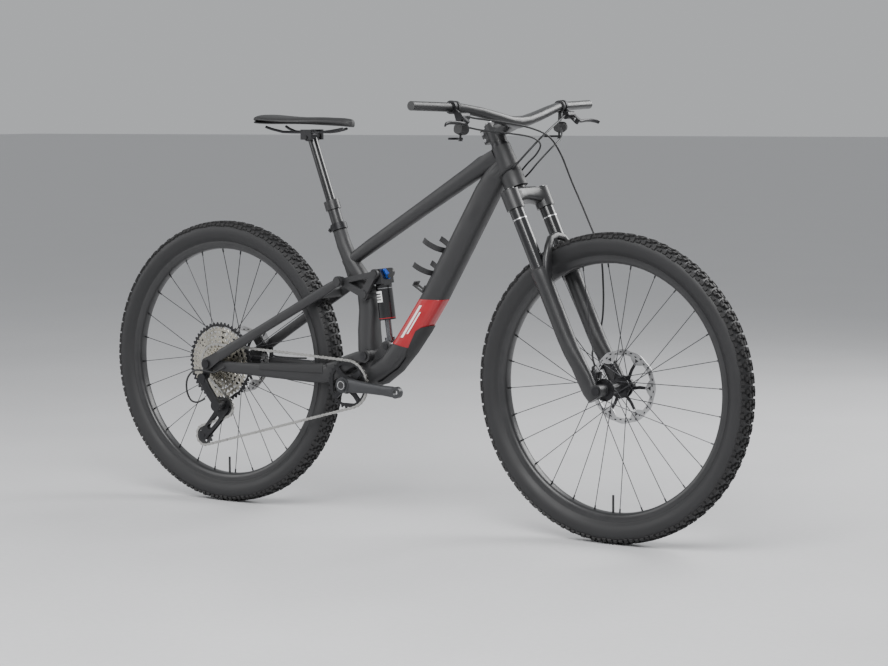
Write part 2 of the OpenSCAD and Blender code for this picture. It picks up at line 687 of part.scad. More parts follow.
module flange_holes(c, yf, m, hr) {
    for (i = [0:spokes / 2 - 1]) {
        p = c + hr * spin(side_a(i, m)) + [0, yf, 0];
        cross_rod([p[0], 0, p[2]], spoke_r + 0.3, yf - 4, yf + 4, 16);
    }
}

module front_tyre() {
    tyre(front);
}

module rear_tyre() {
    tyre(rear);
}

module front_rim() {
    rim(front);
}

module rear_rim() {
    rim(rear);
}

module front_spokes() {
    wheel_spokes(front, -40, 30, 23);
}

module rear_spokes() {
    wheel_spokes(rear, -22, 38, 23);
}

module front_hub() {
    color([0.06, 0.06, 0.065]) difference() {
        wheel_ring(front, [[7.9, -55], [10.5, -55], [10.5, -48], [14, -46.5], [15, -42], [27, -41.3],
            [27, -38.7], [15, -37], [12, -28], [12, 20], [15, 27], [27, 28.7], [27, 31.3], [18, 33],
            [17, 34], [17, 47.5], [12, 48], [10.5, 50], [10.5, 55], [7.9, 55]]);
        flange_holes(front, -40, -1, 23);
        flange_holes(front, 30, 1, 23);
    }
}

module rear_hub() {
    color([0.06, 0.06, 0.065]) difference() {
        wheel_ring(rear, [[6.4, -74], [10, -74], [10, -71.4], [8.5, -71.4], [8.5, -28.5], [19, -28.5],
            [20, -24], [27, -23.3], [27, -20.7], [20, -19.5], [17, -12], [17, 28], [20, 35.5],
            [27, 36.7], [27, 39.3], [19, 41], [17, 42], [17, 60.5], [13, 61], [11, 64], [11, 74], [6.4, 74]]);
        flange_holes(rear, -22, -1, 23);
        flange_holes(rear, 38, 1, 23);
    }
}

module rotor(c, y) {
    color([0.7, 0.7, 0.72]) {
        plate(y - 0.9, y + 0.9) translate([c[0], c[2]]) {
            difference() {
                circle(rotor_r, $fn = 96);
                circle(rotor_r - 13.5, $fn = 96);
                for (i = [0:23]) rotate(15 * i) translate([rotor_r - 9, 0]) circle(2.4, $fn = 16);
                for (i = [0:23]) rotate(15 * i + 7) translate([rotor_r - 4.5, 0]) circle(2, $fn = 16);
            }
            for (i = [0:5]) rotate(60 * i) bar2d([rotor_r - 12, 4], 3, [22, -12], 3.5);
            difference() {
                circle(27);
                circle(17.2);
            }
        }
        difference() {
            cross_rod(c, 21, y + 1, y + 3.2);
            cross_rod(c, 17.6, y, y + 4);
        }
    }
}

module front_rotor() {
    rotor(front, 46);
}

module rear_rotor() {
    rotor(rear, 59);
}

// ---- drive ----
function cog_poly(t, dip, rise) = [for (i = [0:t - 1]) each
    [for (k = [[-0.5, -dip], [-0.14, rise], [0.14, rise]])
        (pitch_r(t) + k[1]) * [cos(360 * (i + k[0]) / t), sin(360 * (i + k[0]) / t)]]];

module cassette() {
    color([0.72, 0.72, 0.74]) difference() {
        union() {
            for (k = [0:len(cogs) - 2]) plate(cog_y0 + k * cog_step - 0.9, cog_y0 + k * cog_step + 0.9)
                translate(xz(rear)) polygon(cog_poly(cogs[k], 4, 2.6));
            cross_rod(rear, 17, cog_y0 - 0.1, cog_y0 + 11 * cog_step - 0.9);
            cross_rod(rear, 14, -73, cog_y0);
        }
        cross_rod(rear, 10.5, -80, -70.9);
        cross_rod(rear, 9, -80, -20);
        for (i = [0:5]) cross_rod(rear + 62 * spin(60 * i), 11, cog_y0 + 8.5 * cog_step, -20, 24);
    }
    color([0.05, 0.05, 0.055]) difference() {
        plate(cog_y0 + 11 * cog_step - 0.9, cog_y0 + 11 * cog_step + 0.9)
            translate(xz(rear)) polygon(cog_poly(cogs[11], 4, 2.6));
        for (i = [0:5]) cross_rod(rear + 74 * spin(60 * i + 30), 16, -40, -20, 24);
        cross_rod(rear, 9, -80, -20);
    }
}

arm_dir = [cos(crank_dip), 0, -sin(crank_dip)];
pedal_r = bb + crank * arm_dir;
pedal_l = bb - crank * arm_dir;

// one arm, drawn for the drive side and pointing along d
module arm(d) {
    loft([for (k = [[-18, -64, 13, 8], [0, -64, 19, 9], [28, -66, 17.5, 8.5], [80, -70.5, 14, 7.5],
        [130, -75, 13, 7], [162, -78.4, 14, 6.8], [185, -79.5, 11, 6]])
        [bb[0] + k[0] * d[0], k[1], bb[2] + k[0] * d[2], k[2], k[3], 2.6]]);
    cross_rod(bb, 20, -75, -56);
    cross_rod(bb + crank * d, 14.5, -86.5, -72.5);
}

module crank_right() {
    color([0.05, 0.05, 0.055]) {
        difference() {
            arm(arm_dir);
            cross_rod(pedal_r, 7, -100, -60);
        }
        cross_rod(bb, 14, -79, -75);
        difference() {
            cross_rod(bb, spindle_r, -57, 55.9);
            cross_rod(bb, 11, -50, 60);
        }
    }
}

module crank_left() {
    color([0.05, 0.05, 0.055]) {
        difference() {
            mirror([0, 1, 0]) arm(-arm_dir);
            cross_rod(pedal_l, 7, 60, 100);
        }
        cross_rod(bb, 14, 75, 79);
        cross_rod(bb, 10.9, 40, 57);
    }
}

module chainring() {
    color([0.06, 0.06, 0.065]) {
        plate(chain_y - 0.9, chain_y + 0.9) translate(xz(bb)) difference() {
            polygon(cog_poly(ring_t, 4, 2.6));
            circle(46);
        }
        plate(chain_y - 2, chain_y + 0.9) translate(xz(bb)) difference() {
            union() {
                circle(24);
                for (i = [0:3]) rotate(90 * i + 40) bar2d([14, 0], 9, [47, 0], 7);
            }
            circle(spindle_r + 0.1);
        }
        difference() {
            cross_rod(bb, 22, -55.9, chain_y - 1.9);
            cross_rod(bb, spindle_r + 0.1, -60, -40);
        }
    }
    color([0.8, 0.8, 0.82]) for (i = [0:3]) {
        b = bb + 50 * spin(90 * i + 40);
        cross_rod(b, 4.5, chain_y - 3.2, chain_y - 1, 24);
    }
}

// ---- rear triangle ----
stay = [[-104, 40.8, 417, 12, 3.6, 3], [-132, 40.8, 410, 16, 4, 3], [-165, 40.6, 396, 19, 4.6, 3],
    [-200, 41, 378, 22, 5.2, 3], [-227, 41.8, 366, 24, 5.2, 3], [-237, 45.6, 363.8, 24, 8.8, 3],
    [-262, 50, 362, 24, 9.5, 3],
    [-340, 57, 362, 20, 9, 3], [-430, 64, 363, 17, 8, 3], [-503, 70.5, 365, 15, 6.6, 3],
    [-545, 75.5, 367.5, 14, 3.6, 2.6], [-568, 76.6, 369.5, 13, 2.2, 2.4]];

module swingarm() {
    color([0.15, 0.15, 0.16]) difference() {
        union() {
            both() {
                loft(stay);
                cross_rod(piv_m, 17, 37.4, 45);
            }
            loft([[-200.5, -40, 376, 6.5, 19, 3], [-200.5, 40, 376, 6.5, 19, 3]], 20, [0, 0, 1]);
            plate(-79, -74.3) bar2d([-560, 369], 14, xz(rear), 19);
            plate(74.3, 81) bar2d([-560, 369], 14, xz(rear), 19);
            plate(72.3, 74.5) {
                bar2d([-538, 378], 7, [-541, 432], 5);
                bar2d([-508, 378], 7, [-507, 404], 5);
            }
        }
        both() cross_rod(piv_m, 7.9 + run_gap, 30, 60);
        cross_rod(rear, 6.05, -100, 100);
    }
}

module chainstay_guard() {
    color([0.05, 0.05, 0.055]) mirror([0, 1, 0]) difference() {
        loft([for (i = [5:8]) [stay[i][0], stay[i][1], stay[i][2], stay[i][3] + 3, stay[i][4] + 2.4, 3]]);
        loft([for (i = [4:9]) [stay[i][0], stay[i][1], stay[i][2], stay[i][3] + 0.1, stay[i][4] + 0.1, 3]]);
        translate([-500, 20, 300]) cube([400, 60, 66]);
    }
}

module rear_axle() {
    color([0.12, 0.12, 0.125]) {
        cross_rod(rear, 6, -95, 92);
        cross_rod(rear, 11, -95, -90.3);
        cross_rod(rear, 11, 88.4, 92);
    }
}

module derailleur_body() {
    color([0.1, 0.1, 0.105]) {
        plate(-84, -79.1) difference() {
            union() {
                bar2d(xz(rear), 13, [-604, 342], 11);
                bar2d([-604, 342], 11, [-612, 330], 9);
            }
            translate(xz(rear)) circle(6.4);
        }
        cross_rod([-608, 0, 334], 13, -97, -84.1);
        loft([[-606, -90, 330, 12, 6.5, 3], [-596, -87, 308, 12, 7, 3], [-580, -80, 280, 12, 7, 3],
            [-573, -76, 266, 12, 6, 3]]);
        cross_rod(cage_piv, 15, -84, -66);
        cross_rod(cage_piv, 5, -66, -58.6, 24);
    }
}

module rear_caliper() {
    color([0.1, 0.1, 0.105]) translate(rear) rotate([0, 55, 0]) caliper(47, 72.2, 59);
}

module rear_lines() {
    color([0.12, 0.12, 0.125]) {
        hose(flow([[-540, -82.4, 366], [-566, -92.6, 352], [-600, -101, 356], [-630, -103, 352],
            [-650, -103, 330], [-652, -103, 300], [-640, -102, 276], [-622, -98, 270], [-600, -91.5, 280]]), 2.5);
        hose(flow([[-380, 61, 385.6], [-430, 64, 383.6], [-466, 66, 383.4], [-490, 66.5, 384.6],
            [-503, 66.5, 390.5], [-510, 66.5, 399]]), 2.5);
    }
}

module cage_plate(y0, y1) {
    plate(y0, y1) difference() {
        bar2d(xz(guide), 17, xz(tension), 13);
        bar2d([-592, 226], 7, [-618, 200], 6);
    }
}

module derailleur_cage() {
    color([0.1, 0.1, 0.105]) {
        difference() {
            union() {
                cage_plate(-56, -54.2);
                cage_plate(-43.8, -42);
                cross_rod(cage_piv, 14, -64, -56);
            }
            cross_rod(cage_piv, 5.4, -70, -57.6, 24);
            cross_rod(guide, 3, -70, -30, 24);
            cross_rod(tension, 3, -70, -30, 24);
        }
        for (c = [guide, tension]) {
            cross_rod(c, 2.9, -56.5, -41.5, 24);
            cross_rod(c, 5, -57.4, -56.1, 24);
        }
    }
}

module pulley(c) {
    color([0.05, 0.05, 0.055]) difference() {
        union() {
            plate(chain_y - 0.9, chain_y + 0.9) translate(xz(c)) polygon(cog_poly(pulley_t, 4, 2.4));
            cross_rod(c, 9, chain_y - 4.4, chain_y + 4.4);
        }
        cross_rod(c, 3.3, -80, -20, 24);
        for (i = [0:4]) cross_rod(c + 15 * spin(72 * i), 3.2, -60, -40, 16);
    }
}

module guide_pulley() {
    pulley(guide);
}

module tension_pulley() {
    pulley(tension);
}

// ---- upper suspension ----
module seatstays() {
    color([0.15, 0.15, 0.16]) difference() {
        union() {
            both() {
                loft([[-196, 43.5, 597.7, 10, 5, 2.6], [-222, 44.5, 583, 12, 6, 3], [-253, 47, 565.5, 13, 7.5, 3],
                    [-330, 56, 522, 12, 8, 3], [-430, 70, 465.4, 12, 8, 3], [-510, 82, 420, 13, 7, 3],
                    [-552, 86, 396.3, 14, 4.4, 2.6], [-572, 86, 385, 13, 2.4, 2.4]]);
                cross_rod(piv_s, 14, 38, 49);
            }
            loft([[-253, -44, 566, 8, 12, 3], [-253, 44, 566, 8, 12, 3]], 20, [0, 0, 1]);
            plate(-90, -84.4) bar2d([-562, 390.6], 13, xz(rear), 16.5);
            plate(81.4, 88) bar2d([-562, 390.6], 13, xz(rear), 16.5);
        }
        both() cross_rod(piv_s, 8.3, 30, 60);
        cross_rod(rear, 6 + run_gap, -100, 100);
    }
}

module rocker() {
    color([0.06, 0.06, 0.065]) {
        both() {
            plate(27.5, 37) difference() {
                union() {
                    bar2d(xz(piv_r), 9.5, xz(piv_s), 8.5);
                    bar2d(xz(piv_r), 9.5, xz(piv_f), 8.5);
                    bar2d(xz(piv_s), 7, xz(piv_f), 7);
                    translate(xz(piv_r)) circle(15);
                    translate(xz(piv_s)) circle(12);
                    translate(xz(piv_f)) circle(12);
                }
                translate(xz(piv_r)) circle(7);
            }
            cross_rod(piv_s, 5, 36, 49.5);
            cross_rod(piv_s, 10.5, 49.5, 52);
            cross_rod(piv_f, 5, 16, 37);
            cross_rod(piv_f, 8.5, 37, 39);
            cross_rod(piv_r, 11, 37, 39);
        }
        cross_rod(piv_r, 6.99, -37.1, 37.1);
    }
}

// shock frame: z from the lower eye towards the upper one
shock_l = norm(piv_f - piv_l);
module shock_frame() {
    translate(piv_l) rotate([0, atan2(piv_f[0] - piv_l[0], piv_f[2] - piv_l[2]), 0]) children();
}

module shock_can() {
    color([0.03, 0.03, 0.032]) shock_frame() difference() {
        union() {
            translate([0, 0, 66]) cylinder(r = 21, h = 88);
            translate([-13, -27, 158]) cube([26, 54, 38]);
            translate([-13, -17, 150]) cube([26, 34, 20]);
            translate([12, 0, 176]) rotate([0, 90, 0]) cylinder(r = 4, h = 9, $fn = 24);
            translate([20, 0, 176]) rotate([0, 90, 0]) cylinder(r = 6.5, h = 1.5);
        }
        translate([0, 0, 60]) cylinder(r = 8.3, h = 90);
        translate([0, 0, shock_l]) rotate([90, 0, 0]) cylinder(r = 7.9, h = 80, center = true);
    }
}

module shock_shaft() {
    shock_frame() {
        color([0.75, 0.75, 0.78]) difference() {
            union() {
                rotate([90, 0, 0]) cylinder(r = 12, h = 24, center = true);
                translate([0, 0, 6]) cylinder(r = 8, h = 99);
            }
            rotate([90, 0, 0]) cylinder(r = 3.9 + run_gap, h = 40, center = true);
        }
        color([0.7, 0.05, 0.05]) difference() {
            translate([0, 0, 14]) cylinder(r = 13, h = 8);
            translate([0, 0, 10]) cylinder(r = 8.05, h = 20);
            rotate([90, 0, 0]) cylinder(r = 12.1, h = 40, center = true);
        }
    }
}

module shock_lever() {
    color([0.05, 0.2, 0.7]) shock_frame() difference() {
        union() {
            translate([14.5, 0, 176]) rotate([0, 90, 0]) cylinder(r = 8, h = 5);
            translate([14.5, 0, 176]) rotate([0, 90, 0]) linear_extrude(5) bar2d([0, 0], 6, [-15, -12], 4.5);
        }
        translate([0, 0, 176]) rotate([0, 90, 0]) cylinder(r = 4.4, h = 60, $fn = 24);
    }
}

main_frame();
down_tube_guard();
headset();
bottom_bracket();
frame_bolts();
seat_clamp();
dropper_outer();
bottle_cage();
chain();
steering_hoses();
front_brake_hose();
dropper_post();
post_head();
saddle_rails();
saddle_shell();
saddle_cover();
fork_crown();
stanchions();
bar_stem();
stem_bolts();
grips();
brake_bodies();
shifter();
dropper_remote();
brake_blade_right();
brake_blade_left();
shift_paddle();
remote_paddle();
fork_lowers();
front_axle();
front_caliper();
front_tyre();
front_rim();
front_spokes();
front_hub();
front_rotor();
rear_tyre();
rear_rim();
rear_spokes();
rear_hub();
rear_rotor();
cassette();
crank_right();
crank_left();
chainring();
swingarm();
chainstay_guard();
rear_axle();
derailleur_body();
rear_caliper();
rear_lines();
derailleur_cage();
guide_pulley();
tension_pulley();
seatstays();
rocker();
shock_can();
shock_shaft();
shock_lever();
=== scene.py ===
# Looks of the full-suspension trail bicycle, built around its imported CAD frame. Metres.
import math

import bmesh
import bpy
import numpy as np
from mathutils import Matrix, Vector
from mathutils.bvhtree import BVHTree


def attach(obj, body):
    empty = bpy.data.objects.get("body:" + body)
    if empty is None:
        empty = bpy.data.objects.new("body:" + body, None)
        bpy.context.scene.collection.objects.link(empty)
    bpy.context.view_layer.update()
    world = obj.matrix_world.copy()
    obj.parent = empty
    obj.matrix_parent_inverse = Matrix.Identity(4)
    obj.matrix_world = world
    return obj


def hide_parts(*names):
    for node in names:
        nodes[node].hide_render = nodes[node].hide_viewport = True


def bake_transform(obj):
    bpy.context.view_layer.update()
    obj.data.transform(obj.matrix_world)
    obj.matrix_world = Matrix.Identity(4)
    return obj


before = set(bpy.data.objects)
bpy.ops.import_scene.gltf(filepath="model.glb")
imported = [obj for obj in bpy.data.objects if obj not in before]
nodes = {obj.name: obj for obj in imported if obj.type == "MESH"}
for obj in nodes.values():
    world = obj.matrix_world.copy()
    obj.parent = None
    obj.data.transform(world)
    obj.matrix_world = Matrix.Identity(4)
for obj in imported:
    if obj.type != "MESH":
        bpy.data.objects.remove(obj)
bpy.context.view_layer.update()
MM = 0.001


# ---- materials ----
def material(name, colour, rough, metal=0.0, vary=0.18, grain=700.0, bump=0.05, coat=0.0, patch=30.0):
    """Fine grain, slow patches and a little relief, all from noise in the object's own metres."""
    m = bpy.data.materials.new(name)
    m.use_nodes = True
    nt = m.node_tree
    bsdf = nt.nodes["Principled BSDF"]
    bsdf.inputs["Metallic"].default_value = metal
    bsdf.inputs["Coat Weight"].default_value = coat
    bsdf.inputs["Coat Roughness"].default_value = 0.25
    where = nt.nodes.new("ShaderNodeTexCoord")
    fine = nt.nodes.new("ShaderNodeTexNoise")
    fine.inputs["Scale"].default_value = grain
    fine.inputs["Detail"].default_value = 3.0
    slow = nt.nodes.new("ShaderNodeTexNoise")
    slow.inputs["Scale"].default_value = patch
    slow.inputs["Detail"].default_value = 4.0
    nt.links.new(where.outputs["Object"], fine.inputs["Vector"])
    nt.links.new(where.outputs["Object"], slow.inputs["Vector"])
    both = nt.nodes.new("ShaderNodeMath")
    both.operation = "ADD"
    nt.links.new(fine.outputs["Fac"], both.inputs[0])
    nt.links.new(slow.outputs["Fac"], both.inputs[1])
    ramp = nt.nodes.new("ShaderNodeMapRange")
    ramp.inputs["From Min"].default_value = 0.7
    ramp.inputs["From Max"].default_value = 1.3
    nt.links.new(both.outputs[0], ramp.inputs["Value"])
    mix = nt.nodes.new("ShaderNodeMix")
    mix.data_type = "RGBA"
    mix.inputs[6].default_value = [c * (1 - vary) for c in colour] + [1]
    mix.inputs[7].default_value = [min(1, c * (1 + vary)) for c in colour] + [1]
    nt.links.new(ramp.outputs["Result"], mix.inputs[0])
    nt.links.new(mix.outputs[2], bsdf.inputs["Base Color"])
    gloss = nt.nodes.new("ShaderNodeMapRange")
    gloss.inputs["From Min"].default_value = 0.3
    gloss.inputs["From Max"].default_value = 0.7
    gloss.inputs["To Min"].default_value = max(0.03, rough - 0.07)
    gloss.inputs["To Max"].default_value = min(1, rough + 0.07)
    nt.links.new(slow.outputs["Fac"], gloss.inputs["Value"])
    nt.links.new(gloss.outputs["Result"], bsdf.inputs["Roughness"])
    relief = nt.nodes.new("ShaderNodeBump")
    relief.inputs["Strength"].default_value = bump
    relief.inputs["Distance"].default_value = 0.0006
    nt.links.new(fine.outputs["Fac"], relief.inputs["Height"])
    nt.links.new(relief.outputs["Normal"], bsdf.inputs["Normal"])
    return m


PAINT = material("matte_charcoal", (0.02, 0.02, 0.0212), 0.5, vary=0.12, grain=2600, bump=0.04)
RUBBER = material("moulded_rubber", (0.018, 0.018, 0.019), 0.72, vary=0.25, grain=1500, bump=0.12)
TREAD = material("tyre_rubber", (0.012, 0.0115, 0.012), 0.66, vary=0.3, grain=900, bump=0.15, patch=14)
SIDEWALL = material("tyre_sidewall", (0.013, 0.013, 0.014), 0.55, vary=0.22, grain=2200, bump=0.1, patch=10)
ALLOY = material("anodised_black", (0.024, 0.024, 0.026), 0.36, metal=0.55, vary=0.15, grain=2000, bump=0.03)
CRANK = material("crank_grey", (0.045, 0.046, 0.049), 0.4, metal=0.4, vary=0.1, grain=2000, bump=0.03)
CARBON = material("satin_black", (0.016, 0.016, 0.017), 0.38, vary=0.15, grain=1200, bump=0.02, coat=0.2)
GLOSS = material("gloss_black", (0.008, 0.008, 0.009), 0.12, vary=0.1, grain=600, bump=0.01, coat=0.6)
STEEL = material("bolt_steel", (0.42, 0.42, 0.43), 0.3, metal=1.0, vary=0.12, grain=1500, bump=0.04)
DARK_STEEL = material("black_steel", (0.05, 0.05, 0.053), 0.33, metal=0.9, vary=0.15, grain=1500, bump=0.03)
CHAIN = material("nickel_chain", (0.42, 0.415, 0.4), 0.3, metal=0.95, vary=0.12, grain=1200, bump=0.05)
COGS = material("nickel_cogs", (0.42, 0.4, 0.35), 0.32, metal=0.95, vary=0.14, grain=900, bump=0.05)
TRACK = material("ground_steel", (0.5, 0.5, 0.505), 0.34, metal=0.95, vary=0.08, grain=3000, bump=0.08,
                 patch=60)
HOSE = material("hose_jacket", (0.014, 0.014, 0.015), 0.42, vary=0.2, grain=1800, bump=0.05)
PLASTIC = material("black_nylon", (0.02, 0.02, 0.021), 0.55, vary=0.2, grain=1800, bump=0.08)
LEATHER = material("saddle_skin", (0.02, 0.02, 0.021), 0.52, vary=0.25, grain=1400, bump=0.25)
GRIP = material("grip_rubber", (0.024, 0.024, 0.025), 0.75, vary=0.25, grain=1600, bump=0.2)
RED = material("panel_red", (0.32, 0.008, 0.014), 0.34, vary=0.12, grain=2200, bump=0.03, coat=0.15)
WHITE = material("print_white", (0.75, 0.75, 0.74), 0.45, vary=0.05, grain=1800, bump=0.02)
SILVER = material("polished_alloy", (0.8, 0.8, 0.81), 0.2, metal=1.0, vary=0.06, grain=1500, bump=0.02)
SHAFT = material("chromed_shaft", (0.2, 0.2, 0.21), 0.22, metal=1.0, vary=0.06, grain=1500, bump=0.02)
BLUE = material("anodised_blue", (0.03, 0.12, 0.6), 0.25, metal=0.7, vary=0.12, grain=1500, bump=0.02)
RED_RING = material("anodised_red", (0.5, 0.02, 0.03), 0.3, metal=0.5, vary=0.1, grain=1500, bump=0.02)

LOOKS = {
    "main_frame": PAINT, "swingarm": PAINT, "seatstays": PAINT, "down_tube_guard": RUBBER,
    "chainstay_guard": RUBBER, "headset": ALLOY, "bottom_bracket": ALLOY, "frame_bolts": DARK_STEEL,
    "seat_clamp": ALLOY, "dropper_outer": CARBON, "bottle_cage": PLASTIC, "steering_hoses": HOSE,
    "front_brake_hose": HOSE, "rear_lines": HOSE, "dropper_post": GLOSS, "post_head": ALLOY,
    "saddle_rails": DARK_STEEL, "saddle_shell": PLASTIC, "fork_crown": CARBON, "stanchions": GLOSS,
    "bar_stem": CARBON, "stem_bolts": STEEL, "brake_bodies": ALLOY, "shifter": PLASTIC,
    "dropper_remote": PLASTIC, "brake_blade_right": ALLOY, "brake_blade_left": ALLOY,
    "shift_paddle": ALLOY, "remote_paddle": ALLOY, "fork_lowers": CARBON, "front_axle": ALLOY,
    "front_caliper": ALLOY, "front_rim": CARBON, "rear_rim": CARBON, "front_spokes": DARK_STEEL,
    "rear_spokes": DARK_STEEL, "front_hub": ALLOY, "rear_hub": ALLOY, "crank_right": CRANK,
    "crank_left": CRANK, "rear_axle": ALLOY, "derailleur_body": ALLOY, "rear_caliper": ALLOY,
    "derailleur_cage": ALLOY, "guide_pulley": PLASTIC, "tension_pulley": PLASTIC, "rocker": PAINT,
    "shock_can": GLOSS, "shock_shaft": SHAFT, "shock_lever": BLUE, "chain": CHAIN,
    "cassette": COGS, "chainring": ALLOY, "front_rotor": TRACK, "rear_rotor": TRACK,
    "front_tyre": TREAD, "rear_tyre": TREAD, "grips": GRIP, "saddle_cover": LEATHER,
}
for name, look in LOOKS.items():
    part = nodes[name]
    part.data.materials.clear()
    part.data.materials.append(look)
    part.data.shade_smooth()
    if "custom_normal" in part.data.attributes:
        part.data.attributes.remove(part.data.attributes["custom_normal"])
    weld = part.modifiers.new("weld", "WELD")
    weld.merge_threshold = 0.00001
    split = part.modifiers.new("split", "EDGE_SPLIT")
    split.split_angle = math.radians(38)
    split.use_edge_sharp = False


# ---- mesh helpers; lengths in mm ----
def piece(name, verts, faces, looks, body, slot=None, replaces=(), angle=38, ids=None):
    mesh = bpy.data.meshes.new(name)
    mesh.from_pydata([tuple(c * MM for c in v) for v in verts], [], faces)
    mesh.validate()
    looks = looks if isinstance(looks, list) else [looks]
    for look in looks:
        mesh.materials.append(look)
    if ids is not None:
        mesh.polygons.foreach_set("material_index", ids)
    mesh.shade_smooth()
    obj = bpy.data.objects.new(name, mesh)
    bpy.context.scene.collection.objects.link(obj)
    if angle:
        split = obj.modifiers.new("split", "EDGE_SPLIT")
        split.split_angle = math.radians(angle)
        split.use_edge_sharp = False
    if body:
        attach(obj, body)
    if replaces:
        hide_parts(*replaces)
    return obj


class Build:
    """Collects solids, then makes one piece of them."""

    def __init__(self):
        self.v, self.f, self.m = [], [], []

    def add(self, verts, faces, look=0):
        k = len(self.v)
        self.v += [tuple(p) for p in verts]
        self.f += [tuple(i + k for i in face) for face in faces]
        self.m += [look] * len(faces)

    def slab(self, loop, y0, y1, look=0):
        """A closed outline of (x, z) points, thick from y0 to y1."""
        n = len(loop)
        verts = [(x, y0, z) for x, z in loop] + [(x, y1, z) for x, z in loop]
        faces = [tuple(range(n)), tuple(range(2 * n - 1, n - 1, -1))]
        faces += [(i, i + n, (i + 1) % n + n, (i + 1) % n) for i in range(n)]
        self.add(verts, faces, look)

    def band(self, outer, inner, y0, y1, look=0):
        """A closed ring between two outlines with the same number of points."""
        n = len(outer)
        verts = [(x, y, z) for y in (y0, y1) for line in (outer, inner) for x, z in line]
        faces = []
        for i in range(n):
            j = (i + 1) % n
            faces += [(i, j, n + j, n + i), (2 * n + i, 3 * n + i, 3 * n + j, 2 * n + j),
                      (i, 2 * n + i, 2 * n + j, j), (n + i, n + j, 3 * n + j, 3 * n + i)]
        self.add(verts, faces, look)

    def tube(self, path, radii, n=16, caps=True, look=0):
        """A round skin through points, with one radius for each."""
        path = [Vector(p) for p in path]
        rings, up = [], None
        for i, p in enumerate(path):
            t = (path[min(i + 1, len(path) - 1)] - path[max(i - 1, 0)]).normalized()
            side = t.orthogonal() if up is None else up - t * up.dot(t)
            up = side.normalized()
            other = t.cross(up)
            rings.append([p + radii[i] * (math.cos(a) * up + math.sin(a) * other)
                          for a in (2 * math.pi * k / n for k in range(n))])
        verts = [q for ring in rings for q in ring]
        faces = [(i * n + j, i * n + (j + 1) % n, (i + 1) * n + (j + 1) % n, (i + 1) * n + j)
                 for i in range(len(path) - 1) for j in range(n)]
        if caps:
            faces += [tuple(range(n - 1, -1, -1)), tuple(range((len(path) - 1) * n, len(path) * n))]
        self.add(verts, faces, look)

    def make(self, name, looks, body, **more):
        return piece(name, self.v, self.f, looks, body, ids=self.m, **more)


def circle(c, r, n=24, start=0.0):
    turns = [start + 2 * math.pi * i / n for i in range(n)]
    return [(c[0] + r * math.cos(a), c[1] + r * math.sin(a)) for a in turns]


def spokewise(c, a, points):
    """Points given as (outward, sideways) from a centre, turned to the angle a."""
    u, w = (math.cos(a), math.sin(a)), (-math.sin(a), math.cos(a))
    return [(c[0] + p * u[0] + q * w[0], c[1] + p * u[1] + q * w[1]) for p, q in points]


# ---- tyres ----
FRONT = (595.0, 0.0, 372.0)
REAR = (-595.0, 0.0, 372.0)
CARCASS = [(319.3, 17.4), (322, 19.6), (325, 22.3), (329, 25.0), (336, 28.2), (344, 29.7), (351, 29.4),
           (357, 27.6), (361, 24.6), (364, 20), (366, 14), (367, 7), (367.2, 0)]


BOX_FACES = [(0, 1, 2, 3), (7, 6, 5, 4), (0, 4, 5, 1), (1, 5, 6, 2), (2, 6, 7, 3), (3, 7, 4, 0)]


